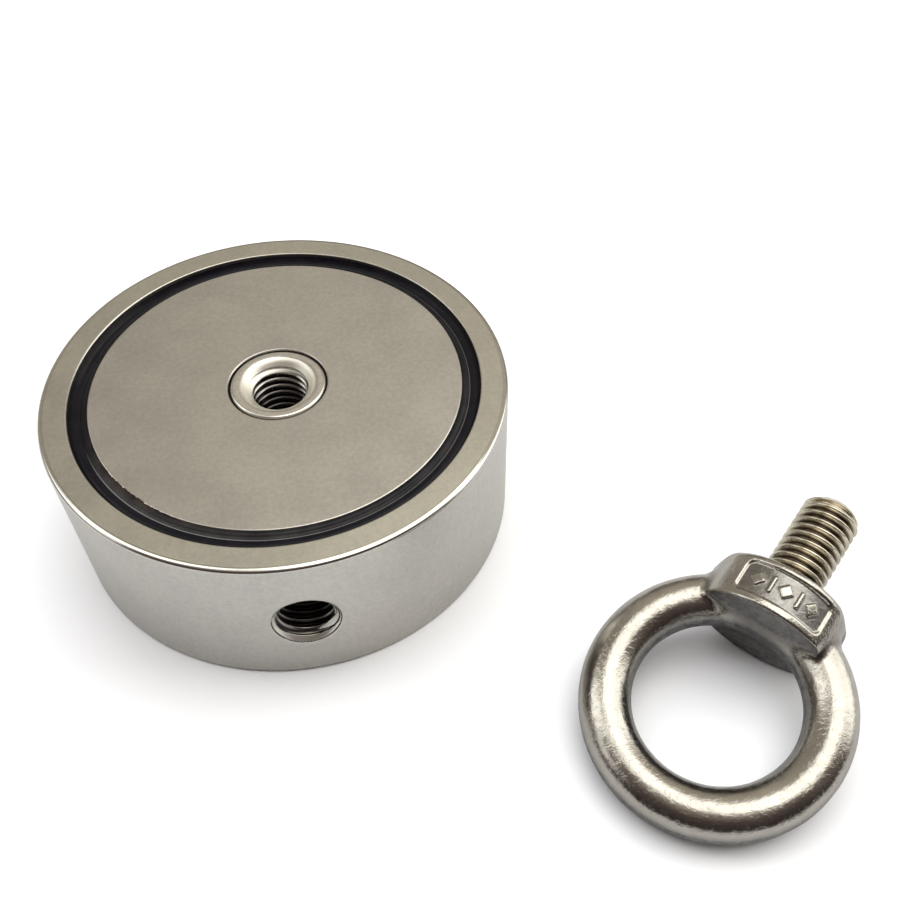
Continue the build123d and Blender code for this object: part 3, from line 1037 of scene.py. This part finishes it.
CAMERA_PLACE = (9.89, -125.52, 149.6)     # millimetres
CAMERA_HEADING = 13.1                     # degrees from +Y towards +X
CAMERA_DOWN = 51.18                       # degrees below level
CAMERA_ROLL = 2.17                        # degrees
CAMERA_LENS = 40.77                       # millimetres, on a 36 mm sensor
CAMERA_SHIFT = (-0.0497, 0.0386)          # fractions of the frame


def make_camera():
    data = bpy.data.cameras.new("camera")
    camera = bpy.data.objects.new("camera", data)
    bpy.context.scene.collection.objects.link(camera)
    h, d, r = (math.radians(v) for v in (CAMERA_HEADING, CAMERA_DOWN, CAMERA_ROLL))
    ahead = Vector((math.sin(h) * math.cos(d), math.cos(h) * math.cos(d), -math.sin(d)))
    level = Vector((math.cos(h), -math.sin(h), 0))
    above = level.cross(ahead)
    right = math.cos(r) * level + math.sin(r) * above
    up = -math.sin(r) * level + math.cos(r) * above
    turn = Matrix((right, up, -ahead)).transposed()
    camera.matrix_world = Matrix.Translation(Vector(CAMERA_PLACE) * MM) @ turn.to_4x4()
    data.sensor_width = 36.0
    data.lens = CAMERA_LENS
    data.shift_x, data.shift_y = CAMERA_SHIFT
    data.clip_start = 0.005
    data.clip_end = 50.0
    bpy.context.scene.camera = camera


# The room, as seen from the object. Azimuth is in degrees clockwise from the camera's heading.
# Each stop is an elevation and a colour; the far side is ahead of the camera, the near side behind it.
FAR_SIDE = (
    (0, (0.13, 0.115, 0.10)),
    (14, (0.30, 0.27, 0.235)),
    (30, (0.58, 0.53, 0.45)),
    (51, (0.70, 0.645, 0.54)),
    (70, (0.78, 0.74, 0.66)),
    (90, (0.85, 0.82, 0.76)),
)
NEAR_SIDE = (
    (0, (0.045, 0.036, 0.033)),
    (20, (0.075, 0.060, 0.054)),
    (45, (0.14, 0.11, 0.10)),
    (60, (0.30, 0.25, 0.22)),
    (75, (0.85, 0.80, 0.72)),
    (90, (0.85, 0.82, 0.76)),
)
FAR_LEFT = (0.46, 0.42, 0.36)       # what the far side fades to on its left
# Soft boxes standing round the table: azimuth, elevation, half width, half height, softness, colour
STRIPS = (
    (70, 33, 21, 26, 8, (2.35, 2.33, 2.22)),
    (-80, 52, 12, 24, 7, (2.4, 2.4, 2.3)),
    (-103, 28, 9, 9, 8, (1.4, 1.37, 1.33)),
)
OVERHEAD = (60, 76, 20, 27, (2.9, 2.85, 2.7))     # azimuth, elevation, inner and outer half angle, colour


def make_world():
    world = bpy.data.worlds.new("studio")
    bpy.context.scene.world = world
    world.use_nodes = True
    tree = world.node_tree
    tree.nodes.clear()
    sums = Sums(tree)
    direction = tree.nodes.new("ShaderNodeTexCoord").outputs["Generated"]
    h = math.radians(CAMERA_HEADING)
    ahead, right = (math.sin(h), math.cos(h), 0), (math.cos(h), -math.sin(h), 0)
    to_degrees = 180 / math.pi
    azimuth = sums.math("ARCTAN2", sums.dot(direction, right), sums.dot(direction, ahead))
    azimuth = sums.math("MULTIPLY", azimuth, to_degrees)
    elevation = sums.math("MULTIPLY", sums.math("ARCSINE", sums.dot(direction, (0, 0, 1))), to_degrees)
    nearness = sums.smooth(sums.math("ABSOLUTE", azimuth), 55, 140)
    far_side = sums.blend("MIX", sums.smooth(azimuth, -14, -36), sums.gradient(elevation, FAR_SIDE), FAR_LEFT)
    total = sums.blend("MIX", nearness, far_side, sums.gradient(elevation, NEAR_SIDE))
    for turn, height, half_w, half_h, soft, colour in STRIPS:
        across = sums.math("ABSOLUTE", sums.math("SUBTRACT", azimuth, turn))
        along = sums.math("ABSOLUTE", sums.math("SUBTRACT", elevation, height))
        inside = sums.math(
            "MULTIPLY", sums.smooth(across, half_w + soft, half_w - soft / 2),
            sums.smooth(along, half_h + soft, half_h - soft / 2),
        )
        total = sums.blend("MIX", inside, total, colour)
    turn, height, inner, outer, colour = OVERHEAD
    a, e = math.radians(turn), math.radians(height)
    centre = Vector(ahead) * math.cos(a) * math.cos(e) + Vector(right) * math.sin(a) * math.cos(e)
    centre.z = math.sin(e)
    inside = sums.smooth(
        sums.dot(direction, tuple(centre)), math.cos(math.radians(outer)), math.cos(math.radians(inner)))
    total = sums.blend("MIX", inside, total, colour)
    seen = tree.nodes.new("ShaderNodeLightPath").outputs["Is Camera Ray"]
    total = sums.blend("MIX", seen, total, (1.0, 1.0, 1.0))
    background = tree.nodes.new("ShaderNodeBackground")
    tree.links.new(total, background.inputs["Color"])
    output = tree.nodes.new("ShaderNodeOutputWorld")
    tree.links.new(background.outputs[0], output.inputs[0])
    world.cycles.sampling_method = "AUTOMATIC"


make_camera()
make_housing()
make_sleeve()
make_magnets()
make_resin()
make_eyebolt()
make_floor()
make_fill()
make_world()
bpy.context.scene.view_settings.view_transform = "Standard"
bpy.context.scene.view_settings.look = "None"
